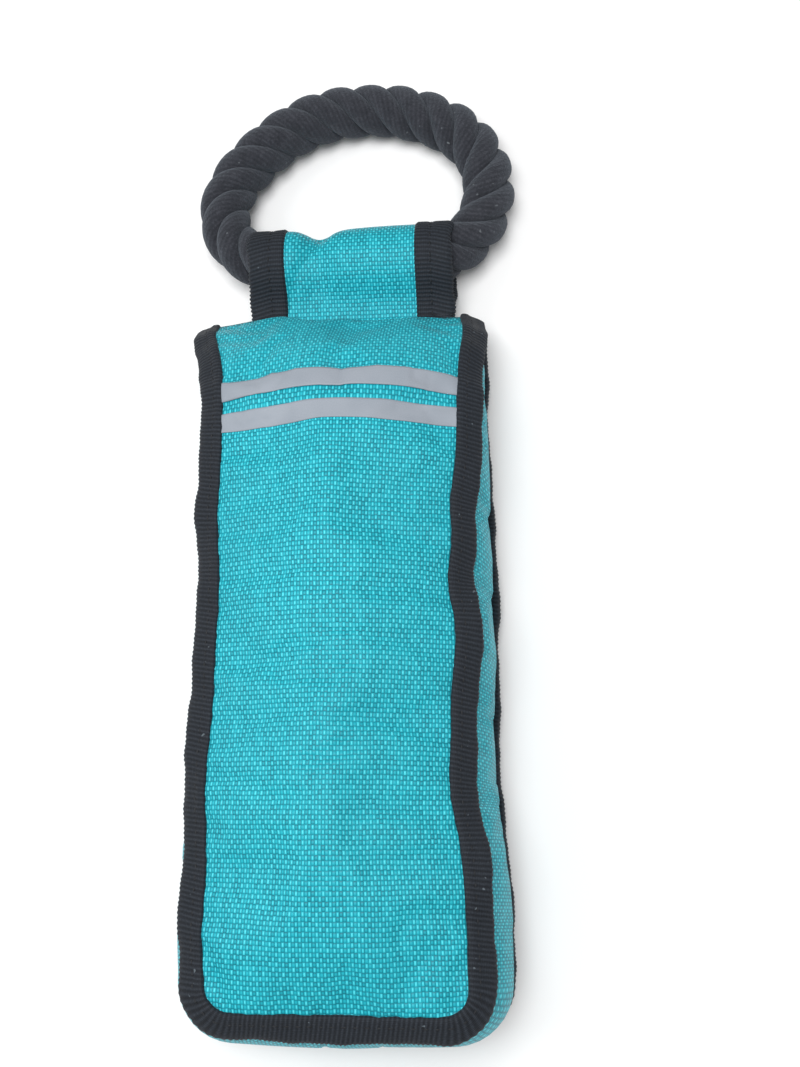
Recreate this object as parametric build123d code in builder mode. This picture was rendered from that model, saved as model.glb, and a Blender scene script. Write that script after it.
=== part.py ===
"""Stuffed training bumper: a filled fabric body, a folded strap tab and a rope ring.

Millimetres. The bumper lies on its back panel. X runs across it, Y runs from the
bottom end to the ring, Z points up. The origin is the middle of the footprint.
"""

import os
from math import asin, cos, degrees, radians, sin, sqrt

from build123d import *

os.makedirs("parts", exist_ok=True)

# Cloth, tape and thread
cloth = 1.2
tape = 0.8
slack = 0.1
binding_width = 10.0
thread = 0.5
stitch_length = 3.0
stitch_pitch = 5.0
stitch_inset = 2.6
seam_stitches_each_way = 7

# Plan view of the body, to the outer edge of each binding
body_top_y = 72.5
front_bottom_y = -170.5
back_bottom_y = -176.0
front_plan = (49.0, 51.0, front_bottom_y)
back_plan = (50.0, 57.0, back_bottom_y)
corner_radius = 15.0
corner_tightening = 1.4
least_corner = 0.6
beyond = 20.0
wall_top_z = 56.0
wall_lean = 1.0
tall = 120.0
halvings = 40

# Side view of the two perimeter seams
front_slope = -3.3
front_bend_radius = 52.0
front_bend_centre_z = -7.77
front_end_slope = -60.0
back_seam_z = 7.0
back_bend_y = 45.0
back_bend_radius = 68.0
back_end_slope = 23.0

# Swell of each panel beyond its seam, by distance along the seam
back_seam_drop = back_seam_z - cloth
front_crown = [
    (binding_width + slack, 2.0),
    (22.0, 6.5),
    (45.0, 11.5),
    (90.0, 14.0),
    (150.0, 14.5),
    (175.0, 13.5),
    (195.0, 11.5),
    (210.0, 9.5),
    (225.0, 7.0),
    (239.0, 4.2),
    (252.0, 1.5),
]
back_depth = [
    (binding_width + slack, 0.2),
    (31.0, back_seam_drop),
    (212.0, back_seam_drop),
    (221.0, 5.0),
    (228.0, 3.6),
    (235.0, 2.3),
    (242.0, 1.2),
    (248.0, 0.2),
]
back_rest_half = 30.0
least_back_slope_width = 8.0

# Reflective strips across the front panel
strip_width = 6.5
strip_gap = 4.5
strip_thickness = 0.4
strip_middle_y = 35.0
strip_lift = 0.6

# Fibre filling, kept clear of the panels
filling_clearance = 1.5
filling_stations = [-157.0, -140.0, -100.0, -50.0, 0.0, 35.0, 55.0, 64.0]

# Strap tab
hinge_y = 78.2
hinge_z = 15.0
tab_half_width = 37.5
tab_tape_width = 14.0
tab_flat_length = 6.0
tab_root_depth = 9.0
inner_root_radius = 0.3
tab_stitch_inset = 11.0

# Rope ring
rope_radius = 10.0
rope_y = 101.0
rope_z = 13.4
rope_play = 0.3
ring_height = 65.0
ring_half_width = 50.5
ring_run_half = 38.5
ring_side_height = 30.0
ring_side_radius = 26.0
ring_tilt = 3.1
wrap_half_length = 12.0
wrap_thickness = 0.7


class Seam:
    """A seam seen from the side: a straight run and then one tangent arc."""

    def __init__(self, start_y, bend_y, bend_z, slope, radius, end_slope):
        self.slope = slope
        self.bend_y = bend_y
        self.bend_z = bend_z
        self.radius = radius
        self.turn = 1 if end_slope > slope else -1
        self.straight = (bend_y - start_y) / cos(radians(slope))
        self.length = self.straight + radius * radians(abs(end_slope - slope))

    def angle(self, s):
        """Slope in degrees at the distance s along the seam."""
        turned = max(0.0, s - self.straight) / self.radius
        return self.slope + self.turn * degrees(turned)

    def point(self, s, offset=0.0):
        """(y, z) at the distance s, moved by offset along the upward normal."""
        start = radians(self.slope)
        here = radians(self.angle(s))
        run = min(0.0, s - self.straight)
        y = self.bend_y + run * cos(start) + self.turn * self.radius * (sin(here) - sin(start))
        z = self.bend_z + run * sin(start) + self.turn * self.radius * (cos(start) - cos(here))
        return (y - offset * sin(here), z + offset * cos(here))

    def plane(self, s):
        """The plane across the seam at s: local x is +X, local y is the upward normal."""
        here = radians(self.angle(s))
        y, z = self.point(s)
        return Plane(origin=(0, y, z), x_dir=(1, 0, 0), z_dir=(0, -cos(here), -sin(here)))


front_seam = Seam(
    front_bottom_y,
    body_top_y + front_bend_radius * (sin(radians(front_end_slope)) - sin(radians(front_slope))),
    front_bend_centre_z + front_bend_radius * cos(radians(front_slope)),
    front_slope,
    front_bend_radius,
    front_end_slope,
)
back_seam = Seam(
    back_bottom_y, back_bend_y, back_seam_z, 0.0, back_bend_radius, back_end_slope
)

# Layers of the tab, by radius from the rope's run
tape_inner = rope_radius + rope_play
web_inner = tape_inner + tape + slack
web_outer = web_inner + cloth
tape_outer = web_outer + slack + tape
tape_root = cloth + slack + tape
ring_plane = Plane(
    origin=(0, rope_y, rope_z),
    x_dir=(1, 0, 0),
    z_dir=(0, sin(radians(ring_tilt)), cos(radians(ring_tilt))),
)


def seam_half(plan, y):
    """Half width at y between the inner edges of the two side bindings."""
    half_top, half_bottom, bottom_y = plan
    share = (y - bottom_y) / (body_top_y - bottom_y)
    return half_bottom + (half_top - half_bottom) * share - binding_width


def outline(plan, inset, z):
    """Face inside the binding's outer edge, drawn in by inset, that runs on past the top."""
    half_top, half_bottom, bottom_y = plan
    top_y = body_top_y + beyond
    top = half_top + (half_top - half_bottom) * beyond / (body_top_y - bottom_y) - inset
    bottom = half_bottom - inset
    with BuildSketch(Plane.XY.offset(z)) as face:
        with BuildLine():
            Polyline(
                (-top, top_y),
                (-bottom, bottom_y + inset),
                (bottom, bottom_y + inset),
                (top, top_y),
                close=True,
            )
        make_face()
        corner = max(least_corner, corner_radius - inset * corner_tightening)
        fillet(face.vertices().group_by(Axis.Y)[0], corner)
    return face.sketch


def side_band(seam, low, high, start=-beyond):
    """Side-view face between two offsets of a seam, from start to the seam's end."""
    bend = seam.straight
    middle = (seam.straight + seam.length) / 2
    end = seam.length
    with BuildSketch(Plane.YZ) as face:
        with BuildLine():
            Line(seam.point(start, low), seam.point(bend, low))
            ThreePointArc(seam.point(bend, low), seam.point(middle, low), seam.point(end, low))
            Line(seam.point(end, low), seam.point(end, high))
            ThreePointArc(seam.point(end, high), seam.point(middle, high), seam.point(bend, high))
            Line(seam.point(bend, high), seam.point(start, high))
            Line(seam.point(start, high), seam.point(start, low))
        make_face()
    return face.sketch


def side_gap(low, high):
    """Side-view face between the two seams, low above the back and high below the front."""
    back = [back_seam.straight, (back_seam.straight + back_seam.length) / 2, back_seam.length]
    front = [front_seam.straight, (front_seam.straight + front_seam.length) / 2, front_seam.length]
    with BuildSketch(Plane.YZ) as face:
        with BuildLine():
            Line(back_seam.point(-beyond, low), back_seam.point(back[0], low))
            ThreePointArc(*[back_seam.point(s, low) for s in back])
            Line(back_seam.point(back[2], low), front_seam.point(front[2], -high))
            ThreePointArc(*[front_seam.point(s, -high) for s in reversed(front)])
            Line(front_seam.point(front[0], -high), front_seam.point(-beyond, -high))
            Line(front_seam.point(-beyond, -high), back_seam.point(-beyond, low))
        make_face()
    return face.sketch


def edge_band(seam, plan, outer, inner, low, high):
    """Solid that follows a perimeter seam up both sides and across the bottom."""
    with BuildPart() as band:
        extrude(outline(plan, outer, -beyond), amount=tall)
        extrude(outline(plan, inner, -beyond), amount=tall, mode=Mode.SUBTRACT)
        extrude(side_band(seam, low, high), amount=tall, both=True, mode=Mode.INTERSECT)
    return band.part


def front_section(s, crown, low, high):
    """Arched section of a sheet over the front, between two offsets from the front seam."""
    half = seam_half(front_plan, front_seam.point(s)[0]) - slack
    with BuildSketch(front_seam.plane(s)) as face:
        with BuildLine():
            ThreePointArc((-half, high), (0, high + crown), (half, high))
            Line((half, high), (half, low))
            ThreePointArc((half, low), (0, low + crown), (-half, low))
            Line((-half, low), (-half, high))
        make_face()
    return face.sketch


def back_section(s, depth, low, high):
    """Section of the back panel: flat where it rests and sloping up to each side seam."""
    half = seam_half(back_plan, back_seam.point(s)[0]) - slack
    rest = min(back_rest_half, half - least_back_slope_width)
    with BuildSketch(back_seam.plane(s)) as face:
        with BuildLine():
            Polyline(
                (-half, high),
                (-rest, high - depth),
                (rest, high - depth),
                (half, high),
                (half, low),
                (rest, low - depth),
                (-rest, low - depth),
                (-half, low),
                close=True,
            )
        make_face()
    return face.sketch


def binding(seam, plan):
    """U-shaped tape folded over the raw edges of one perimeter seam."""
    fold = cloth + tape
    with BuildPart() as folded:
        add(edge_band(seam, plan, 0, binding_width, -fold, fold))
        add(
            edge_band(seam, plan, tape, binding_width + slack, -cloth - slack, cloth + slack),
            mode=Mode.SUBTRACT,
        )
    return folded.part


def seam_stitches(seam, plan, offset):
    """Boxes of thread along the tape's inner edge, up both sides and across the bottom."""
    y_from = plan[2] + binding_width
    reach = seam_half(plan, y_from) - corner_radius / 2
    first = binding_width + stitch_pitch
    count = int((seam.length - first) / stitch_pitch)
    with BuildPart() as row:
        for index in range(count):
            s = first + index * stitch_pitch
            y = seam.point(s)[0]
            x = seam_half(plan, y) + stitch_inset
            place = seam.plane(s)
            with Locations(place * Location((-x, offset, 0)), place * Location((x, offset, 0))):
                Box(thread, thread, stitch_length)
        across = seam.plane(binding_width - stitch_inset)
        half_count = int(reach / stitch_pitch)
        for index in range(-half_count, half_count + 1):
            with Locations(across * Location((index * stitch_pitch, offset, 0))):
                Box(stitch_length, thread, thread)
    return row.part


def wall_block(inset):
    """Block inside the gusset's outer face, drawn in by inset, tapering from back to front."""
    with BuildPart() as block:
        loft(
            [
                outline(back_plan, binding_width + slack + inset, back_seam_z),
                outline(front_plan, binding_width + slack + wall_lean + inset, wall_top_z),
            ],
            ruled=True,
        )
    return block.part


def height_at(seam, y):
    """Distance along the seam and height of the seam above the ground at y."""
    low = 0.0
    high = seam.length
    for _ in range(halvings):
        middle = (low + high) / 2
        if seam.point(middle)[0] < y:
            low = middle
        else:
            high = middle
    return low, seam.point(low)[1]


def between(table, s):
    """Value at s in a table of (distance, value) rows."""
    for (s0, v0), (s1, v1) in zip(table, table[1:]):
        if s <= s1:
            share = max(0.0, (s - s0) / (s1 - s0))
            return v0 + (v1 - v0) * share
    return table[-1][1]


def filling_section(y):
    """Closed section of the filling at y, inside the panels and the gusset."""
    s_front, z_front = height_at(front_seam, y)
    s_back, z_back = height_at(back_seam, y)
    gap = cloth + filling_clearance
    half_low = seam_half(back_plan, y) - gap
    half_high = seam_half(front_plan, y) - gap
    rest = min(back_rest_half, half_low - least_back_slope_width)
    bottom = z_back - between(back_depth, s_back) + filling_clearance / 2
    top = z_front - filling_clearance
    crown = between(front_crown, s_front)
    with BuildSketch(Plane(origin=(0, y, 0), x_dir=(1, 0, 0), z_dir=(0, -1, 0))) as face:
        with BuildLine():
            Polyline(
                (-half_high, top),
                (-half_low, z_back + filling_clearance),
                (-rest, bottom),
                (rest, bottom),
                (half_low, z_back + filling_clearance),
                (half_high, top),
            )
            ThreePointArc((half_high, top), (0, top + crown), (-half_high, top))
        make_face()
    return face.sketch


def strip(s_middle):
    """One reflective strip laid over the crown of the front panel."""
    stations = [s_middle - strip_width / 2, s_middle, s_middle + strip_width / 2]
    low = cloth + strip_lift
    with BuildPart() as band:
        loft([
            front_section(s, between(front_crown, s), low, low + strip_thickness)
            for s in stations
        ])
    return band.part


def teardrop(radius, root_radius, root_y):
    """Side-view face round the rope's run that narrows to a round root nearer the body."""
    with BuildSketch(Plane.YZ) as face:
        with Locations((rope_y, rope_z)):
            Circle(radius)
        with Locations((root_y, hinge_z)):
            Circle(root_radius)
        make_hull()
    return face.sketch


def strap_loop(low_x, high_x, inner, outer, root_radius):
    """Solid between two teardrops, from low_x to high_x: cloth or tape folded over the rope."""
    inner_root_y = hinge_y + tab_flat_length
    with BuildPart() as loop:
        extrude(teardrop(outer, root_radius, hinge_y), amount=tall, both=True)
        extrude(
            teardrop(inner, inner_root_radius, inner_root_y),
            amount=tall,
            both=True,
            mode=Mode.SUBTRACT,
        )
        with Locations(((low_x + high_x) / 2, rope_y, rope_z)):
            Box(high_x - low_x, tall, tall, mode=Mode.INTERSECT)
    return loop.part


def tab_binding(side):
    """Tape folded over one long edge of the strap, inside and outside the loop."""
    edge = tab_half_width + tape
    ends = sorted((side * edge, side * (edge - tab_tape_width)))
    slot_ends = sorted((side * (tab_half_width + slack), 0.0))
    tape_loop = strap_loop(*ends, tape_inner, tape_outer, tape_root)
    slot = strap_loop(*slot_ends, web_inner - slack, web_outer + slack, cloth + slack)
    with BuildPart() as bound:
        add(tape_loop)
        add(slot, mode=Mode.SUBTRACT)
    return bound.part


def tab_stitches(side):
    """Thread along the inner edge of one tab binding, up the strap and over the fold."""
    run = sqrt((rope_y - hinge_y) ** 2 + (rope_z - hinge_z) ** 2)
    lean = degrees(asin((rope_z - hinge_z) / run))
    normal = lean + 90 + degrees(asin((tape_outer - tape_root) / run))
    rise = slack + thread / 2
    x = side * (tab_half_width + tape - tab_stitch_inset)
    count = int(run / stitch_pitch)
    steps = int(radians(normal) * tape_outer / stitch_pitch)
    with BuildPart() as row:
        for index in range(1, count):
            share = index / count
            radius = tape_root + (tape_outer - tape_root) * share + rise
            y = hinge_y + (rope_y - hinge_y) * share + radius * cos(radians(normal))
            z = hinge_z + (rope_z - hinge_z) * share + radius * sin(radians(normal))
            with Locations(Location((x, y, z), (normal - 90, 0, 0))):
                Box(thread, stitch_length, thread)
        for index in range(steps + 1):
            turn = normal * (1 - index / steps)
            y = rope_y + (tape_outer + rise) * cos(radians(turn))
            z = rope_z + (tape_outer + rise) * sin(radians(turn))
            with Locations(Location((x, y, z), (turn - 90, 0, 0))):
                Box(thread, stitch_length, thread)
    return row.part


def ring_route():
    """Closed centreline of the rope: a straight run through the tab and an oval arch."""
    bend = ring_half_width - ring_run_half
    spare_width = ring_half_width - ring_side_radius
    spare_height = ring_height - ring_side_height - ring_side_radius
    reach = (spare_width**2 + spare_height**2) / (2 * spare_height)
    top_radius = reach + ring_side_radius
    top_turn = degrees(asin(spare_width / reach))
    with BuildLine(ring_plane) as route:
        run = Line((-ring_run_half, 0), (ring_run_half, 0))
        JernArc(run @ 1, (1, 0), bend, 90)
        right = Line((ring_half_width, bend), (ring_half_width, ring_side_height))
        shoulder = JernArc(right @ 1, (0, 1), ring_side_radius, 90 - top_turn)
        top = JernArc(shoulder @ 1, shoulder % 1, top_radius, 2 * top_turn)
        JernArc(top @ 1, top % 1, ring_side_radius, 90 - top_turn)
        Line((-ring_half_width, ring_side_height), (-ring_half_width, bend))
        JernArc((-ring_half_width, bend), (0, -1), bend, 90)
    return route.line


def save(piece, name):
    piece.label = name
    export_step(piece, f"parts/{name}.step")


# ---------------------------------------------------------------- filled body

with BuildPart() as front_panel:
    loft([front_section(s, crown, 0, cloth) for s, crown in front_crown])
save(front_panel.part, "front_panel")

with BuildPart() as back_panel:
    loft([back_section(s, depth, -cloth, 0) for s, depth in back_depth], ruled=True)
save(back_panel.part, "back_panel")

# The gusset carries both cloth layers that each binding wraps
wall_outside = wall_block(0)
wall_inside = wall_block(cloth)
own_inner = binding_width + slack + cloth + wall_lean
edge_inner = binding_width + slack
edge_outer = tape + slack
front_edges = edge_band(front_seam, front_plan, edge_outer, edge_inner, -cloth, cloth)
front_turn = edge_band(front_seam, front_plan, edge_outer, own_inner, -cloth, 0)
back_edges = edge_band(back_seam, back_plan, edge_outer, edge_inner, -cloth, cloth)
back_turn = edge_band(back_seam, back_plan, edge_outer, own_inner, 0, cloth)

with BuildPart() as gusset:
    add(wall_outside)
    add(wall_inside, mode=Mode.SUBTRACT)
    extrude(side_gap(0, 0), amount=tall, both=True, mode=Mode.INTERSECT)
    add(front_turn)
    add(front_edges)
    add(back_turn)
    add(back_edges)
save(gusset.part, "gusset")

with BuildPart() as filling:
    loft([filling_section(y) for y in filling_stations], ruled=True)
save(filling.part, "filling")

save(binding(front_seam, front_plan), "front_binding")
save(binding(back_seam, back_plan), "back_binding")

stitch_rise = cloth + tape + slack + thread / 2
save(seam_stitches(front_seam, front_plan, stitch_rise), "front_binding_stitches")
save(seam_stitches(back_seam, back_plan, stitch_rise), "back_binding_stitches")

strip_s = height_at(front_seam, strip_middle_y)[0]
strip_step = (strip_width + strip_gap) / 2
for name, s_middle in (("upper", strip_s + strip_step), ("lower", strip_s - strip_step)):
    save(strip(s_middle), f"reflective_strip_{name}")

# The strap's sewn-in ends, and the seam through them
with BuildPart() as tab_root:
    with Locations((0, body_top_y + cloth + tape - tab_root_depth / 2, hinge_z)):
        Box(2 * tab_half_width, tab_root_depth, 2 * cloth)
save(tab_root.part, "tab_root")

with BuildPart() as top_seam_stitches:
    for index in range(-seam_stitches_each_way, seam_stitches_each_way + 1):
        for face in (-1, 1):
            z = hinge_z + face * (cloth + thread / 2)
            with Locations((index * stitch_pitch, body_top_y - cloth, z)):
                Box(stitch_length, thread, thread)
save(top_seam_stitches.part, "top_seam_stitches")

# ---------------------------------------------------------------- strap tab

save(strap_loop(-tab_half_width, tab_half_width, web_inner, web_outer, cloth), "tab_web")
for name, side in (("left", -1), ("right", 1)):
    save(tab_binding(side), f"tab_binding_{name}")
    save(tab_stitches(side), f"tab_stitches_{name}")

# ---------------------------------------------------------------- rope ring

rope_line = ring_route()
with BuildPart() as rope_ring:
    with BuildSketch(Plane(origin=rope_line @ 0, z_dir=rope_line % 0)):
        Circle(rope_radius)
    sweep(path=rope_line)
save(rope_ring.part, "rope_ring")
print("rope length", sum(edge.length for edge in rope_line.edges()))

with BuildPart() as rope_joint_wrap:
    with BuildSketch(Plane.YZ):
        with Locations((rope_y, rope_z)):
            Circle(rope_radius + wrap_thickness)
            Circle(rope_radius, mode=Mode.SUBTRACT)
    extrude(amount=wrap_half_length, both=True)
save(rope_joint_wrap.part, "rope_joint_wrap")
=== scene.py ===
"""Looks of the stuffed training bumper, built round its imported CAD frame. Metres."""

from math import atan2, cos, hypot, pi, radians, sin

import bpy
import numpy as np
from mathutils import Matrix, Vector


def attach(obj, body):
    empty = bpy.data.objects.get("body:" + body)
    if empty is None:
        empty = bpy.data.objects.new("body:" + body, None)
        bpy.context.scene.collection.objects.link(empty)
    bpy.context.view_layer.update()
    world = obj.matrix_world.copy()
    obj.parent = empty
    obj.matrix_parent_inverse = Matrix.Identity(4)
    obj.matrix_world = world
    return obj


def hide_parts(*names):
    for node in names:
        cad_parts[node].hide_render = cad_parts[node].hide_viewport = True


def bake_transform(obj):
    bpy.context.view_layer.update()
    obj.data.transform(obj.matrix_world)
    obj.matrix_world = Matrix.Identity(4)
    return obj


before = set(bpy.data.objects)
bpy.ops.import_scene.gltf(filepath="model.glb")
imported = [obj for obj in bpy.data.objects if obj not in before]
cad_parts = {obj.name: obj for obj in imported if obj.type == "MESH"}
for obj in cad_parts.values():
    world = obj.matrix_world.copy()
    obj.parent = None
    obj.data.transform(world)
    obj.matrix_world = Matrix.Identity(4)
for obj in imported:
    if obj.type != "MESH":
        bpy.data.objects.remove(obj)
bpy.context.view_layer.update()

mm = 0.001

# ---- camera, floor and light

sensor = 36.0
lens = 42.4645
view_azimuth = radians(30.2)
view_elevation = radians(78.33)
view_roll = radians(-30.9)
view_distance = 441.1 * mm
view_target = Vector((19.22, -6.62, 30.0)) * mm


def add_camera():
    """Camera that looks down at the bumper, rolled so that it stands upright in the frame."""
    back = Vector((
        sin(view_azimuth) * cos(view_elevation),
        -cos(view_azimuth) * cos(view_elevation),
        sin(view_elevation),
    ))
    level_right = (-back).cross(Vector((0, 0, 1))).normalized()
    level_up = level_right.cross(-back)
    right = cos(view_roll) * level_right + sin(view_roll) * level_up
    up = cos(view_roll) * level_up - sin(view_roll) * level_right
    data = bpy.data.cameras.new("camera")
    data.sensor_fit = "VERTICAL"
    data.sensor_height = sensor
    data.sensor_width = sensor
    data.lens = lens
    data.clip_start = 10 * mm
    data.clip_end = 10
    camera = bpy.data.objects.new("camera", data)
    bpy.context.scene.collection.objects.link(camera)
    camera.matrix_world = Matrix.Translation(view_target + back * view_distance) @ Matrix((
        right, up, back
    )).transposed().to_4x4()
    bpy.context.scene.camera = camera


def add_light(name, place, size, power):
    """Square area light at place that faces the middle of the bumper."""
    data = bpy.data.lights.new(name, "AREA")
    data.size = size
    data.energy = power
    light = bpy.data.objects.new(name, data)
    bpy.context.scene.collection.objects.link(light)
    light.location = place
    light.rotation_mode = "QUATERNION"
    light.rotation_quaternion = (Vector(place) - view_target).to_track_quat("Z", "Y")


def add_sky(strength):
    """Even white light from all round."""
    world = bpy.data.worlds.new("studio")
    world.use_nodes = True
    background = world.node_tree.nodes["Background"]
    background.inputs["Color"].default_value = (1, 1, 1, 1)
    background.inputs["Strength"].default_value = strength
    bpy.context.scene.world = world


# ---- shader helpers


def linear(red, green, blue):
    """Scene-linear colour of an 8-bit display colour."""
    shares = [value / 255 for value in (red, green, blue)]
    return tuple(
        share / 12.92 if share < 0.04045 else ((share + 0.055) / 1.055) ** 2.4
        for share in shares
    ) + (1.0,)


class Shader:
    """One material's node tree, with short calls for the nodes that it uses."""

    def __init__(self, name, **uniform):
        self.material = bpy.data.materials.new(name)
        self.material.use_nodes = True
        self.tree = self.material.node_tree
        self.surface = self.tree.nodes["Principled BSDF"]
        for socket, value in uniform.items():
            self.surface.inputs[socket.replace("_", " ")].default_value = value

    def put(self, socket, value):
        """Links value to a socket if it is another socket, and sets it otherwise."""
        if isinstance(value, bpy.types.NodeSocket):
            self.tree.links.new(value, socket)
        else:
            socket.default_value = value

    def maths(self, operation, *values):
        """Result of one maths node."""
        node = self.tree.nodes.new("ShaderNodeMath")
        node.operation = operation
        for socket, value in zip(node.inputs, values):
            self.put(socket, value)
        return node.outputs[0]

    def uv(self, layer):
        """(u, v) sockets of a UV layer, which holds metres of flat cloth."""
        source = self.tree.nodes.new("ShaderNodeUVMap")
        source.uv_map = layer
        split = self.tree.nodes.new("ShaderNodeSeparateXYZ")
        self.put(split.inputs[0], source.outputs[0])
        return split.outputs[0], split.outputs[1]

    def place(self):
        """Object coordinates, which are metres in the bumper's frame."""
        return self.tree.nodes.new("ShaderNodeTexCoord").outputs["Object"]

    def combine(self, x, y, z=0.0):
        """Vector of three values."""
        node = self.tree.nodes.new("ShaderNodeCombineXYZ")
        for socket, value in zip(node.inputs, (x, y, z)):
            self.put(socket, value)
        return node.outputs[0]

    def noise(self, vector, scale, detail=2.0, roughness=0.5):
        """Smooth noise from 0 to 1."""
        node = self.tree.nodes.new("ShaderNodeTexNoise")
        self.put(node.inputs["Vector"], vector)
        node.inputs["Scale"].default_value = scale
        node.inputs["Detail"].default_value = detail
        node.inputs["Roughness"].default_value = roughness
        return node.outputs["Fac"]

    def random(self, vector):
        """Random value of a whole-numbered vector, such as one yarn's number."""
        node = self.tree.nodes.new("ShaderNodeTexWhiteNoise")
        self.put(node.inputs["Vector"], vector)
        return node.outputs["Value"]

    def ramp(self, value, *stops):
        """Colour by value, from (position, colour) stops."""
        node = self.tree.nodes.new("ShaderNodeValToRGB")
        self.put(node.inputs["Fac"], value)
        elements = node.color_ramp.elements
        while len(elements) < len(stops):
            elements.new(0.5)
        for element, (position, colour) in zip(elements, stops):
            element.position = position
            element.color = colour
        return node.outputs["Color"]

    def spread(self, value, low, high, to_low, to_high):
        """Value carried from one range to another."""
        node = self.tree.nodes.new("ShaderNodeMapRange")
        for socket, item in zip(node.inputs, (value, low, high, to_low, to_high)):
            self.put(socket, item)
        return node.outputs[0]

    def mix(self, share, first, second):
        """Colour between two others; a mix node keeps its colour sockets last."""
        colour_a, colour_b, colour_out = 6, 7, 2
        node = self.tree.nodes.new("ShaderNodeMix")
        node.data_type = "RGBA"
        self.put(node.inputs["Factor"], share)
        self.put(node.inputs[colour_a], first)
        self.put(node.inputs[colour_b], second)
        return node.outputs[colour_out]

    def bump(self, height, distance, strength=1.0):
        """Bends the surface's normal by a height."""
        node = self.tree.nodes.new("ShaderNodeBump")
        node.inputs["Strength"].default_value = strength
        node.inputs["Distance"].default_value = distance
        self.put(node.inputs["Height"], height)
        self.put(self.surface.inputs["Normal"], node.outputs[0])

    def wave(self, value):
        """Sine of pi times value, never below 0."""
        turned = self.maths("SINE", self.maths("MULTIPLY", value, pi))
        return self.maths("MAXIMUM", turned, 0.0)

    def plus(self, base, part, share):
        """Base plus a share of another value."""
        return self.maths("ADD", base, self.maths("MULTIPLY", part, share))

    def plus_centred(self, base, part, share):
        """Base plus a share of another value that runs from 0 to 1, centred on 0."""
        return self.plus(base, self.maths("SUBTRACT", part, 0.5), share)

    def cycle(self, function, value, pitch):
        """Sine or cosine along a distance, one turn to a pitch, from 0 to 1."""
        turned = self.maths(function, self.maths("MULTIPLY", value, 2 * pi / pitch))
        return self.maths("MULTIPLY_ADD", turned, 0.5, 0.5)


warp_pitch = 1.08 * mm
weft_pitch = 1.5 * mm
weft_sway = 0.9 * mm
rib_pitch = 1.5 * mm
tape_yarn_pitch = 0.55 * mm
rope_yarn_pitch = 2.1 * mm


def cloth_material():
    """Heavy plain-weave nylon, with painted highlight on the raised warp floats and painted shade on
    the lower weft floats and in the gaps between yarns.
    """
    m = Shader("teal_cloth", Roughness=0.48, Specular_IOR_Level=0.28)
    m.surface.inputs["Sheen Weight"].default_value = 0.03
    u, v = m.uv("cloth")
    sway = m.noise(m.combine(u, v), 90.0, 2.0)
    column = m.maths("DIVIDE", u, warp_pitch)
    row = m.maths("DIVIDE", m.plus(v, sway, weft_sway), weft_pitch)
    column_id = m.maths("FLOOR", column)
    row_id = m.maths("FLOOR", row)
    across = m.maths("FRACT", column)
    along = m.maths("FRACT", row)
    over = m.maths("PINGPONG", m.maths("ADD", column_id, row_id), 1.0)
    warp = m.maths("MULTIPLY", m.wave(across), m.maths("POWER", m.wave(along), 0.45))
    weft = m.maths("MULTIPLY", m.wave(along), m.maths("POWER", m.wave(across), 0.6))
    warp_up = m.maths("MULTIPLY", warp, over)
    weft_up = m.maths("MULTIPLY", weft, m.maths("SUBTRACT", 1.0, over))
    height = m.plus(warp_up, weft_up, 0.42)
    yarn = m.random(m.combine(column_id, 0.0))
    pick = m.random(m.combine(row_id, 7.0))
    cell = m.random(m.combine(column_id, row_id, 3.0))
    fibre = m.noise(m.combine(m.maths("MULTIPLY", u, 9.0), v), 700.0, 1.0)
    level = height
    for part, share in ((yarn, 0.07), (pick, 0.03), (cell, 0.2), (fibre, 0.2)):
        level = m.plus_centred(level, part, share)
    # The ramp paints light by the weave's height: painted highlight on the raised warp floats,
    # painted shade on the lower weft floats, darkest in the gaps. The yarn, pick, cell and fibre
    # parts are the cloth's own random tone.
    colour = m.ramp(
        level,
        (0.0, linear(6, 114, 130)),
        (0.22, linear(14, 156, 173)),
        (0.6, linear(40, 190, 206)),
        (1.0, linear(86, 222, 234)),
    )
    broad = m.noise(m.place(), 22.0, 3.0)
    shade = m.mix(m.spread(broad, 0.35, 0.65, 0.0, 0.14), colour, linear(24, 140, 158))
    m.put(m.surface.inputs["Base Color"], shade)
    m.bump(m.plus(height, fibre, 0.15), 0.3 * mm, 0.85)
    return m.material


def tape_material():
    """Ribbed polyester binding tape with a little lint on it, and painted shade in the grooves
    between its ribs and its fine yarns.
    """
    m = Shader("black_tape", Roughness=0.68, Specular_IOR_Level=0.22)
    m.surface.inputs["Sheen Weight"].default_value = 0.08
    m.surface.inputs["Sheen Roughness"].default_value = 0.45
    u, v = m.uv("cloth")
    # Painted shade: the rib and yarn waves darken the tone in the grooves, in step with the tape's
    # ribbed shape and its bump.
    rib_shade = m.cycle("COSINE", v, rib_pitch)
    yarn = m.cycle("SINE", u, tape_yarn_pitch)
    grain = m.noise(m.combine(u, v), 1500.0, 2.0)
    tone = m.plus(m.maths("MULTIPLY", rib_shade, 0.34), yarn, 0.15)
    tone = m.plus(tone, grain, 0.5)
    colour = m.ramp(
        tone,
        (0.15, linear(17, 20, 25)),
        (0.5, linear(31, 36, 43)),
        (0.85, linear(52, 58, 66)),
    )
    lint = m.noise(m.place(), 520.0, 1.0)
    speck = m.spread(lint, 0.76, 0.8, 0.0, 0.5)
    m.put(m.surface.inputs["Base Color"], m.mix(speck, colour, linear(120, 132, 140)))
    m.bump(m.maths("ADD", m.maths("MULTIPLY", yarn, 0.5), grain), 0.12 * mm, 0.8)
    return m.material


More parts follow.
